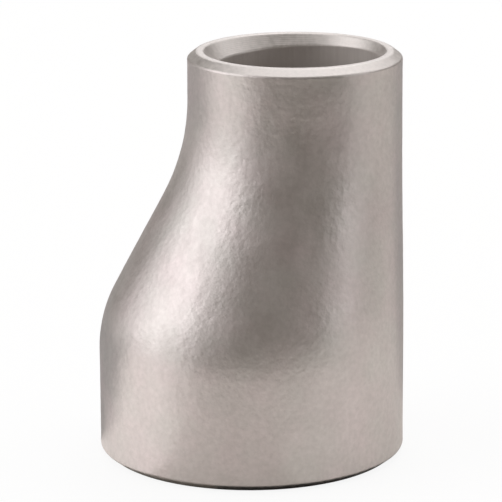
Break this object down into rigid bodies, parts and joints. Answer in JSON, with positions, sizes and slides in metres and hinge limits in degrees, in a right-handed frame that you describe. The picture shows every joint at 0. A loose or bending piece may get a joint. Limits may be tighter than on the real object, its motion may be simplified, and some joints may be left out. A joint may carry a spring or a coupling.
{
  "type": "eccentric reducer",
  "caption": "Eccentric butt-weld pipe reducer: a short round fitting that steps down to a smaller offset end, straight on one side, with bevelled ends.",
  "frame": {"origin": "centre of the large weld end's end plane, on the axis of its outside diameter", "axes": "+Z along the bore towards the small weld end, +X towards the straight side, +Y completes a right-handed frame"},
  "size_m": [0.0484, 0.0484, 0.064],
  "materials": {
    "stainless_steel": "satin grey stainless steel, blasted and pickled outside, machined on the weld ends"
  },
  "bodies": {
    "root": {"reducer_body": "stainless_steel"}
  },
  "joints": []
}
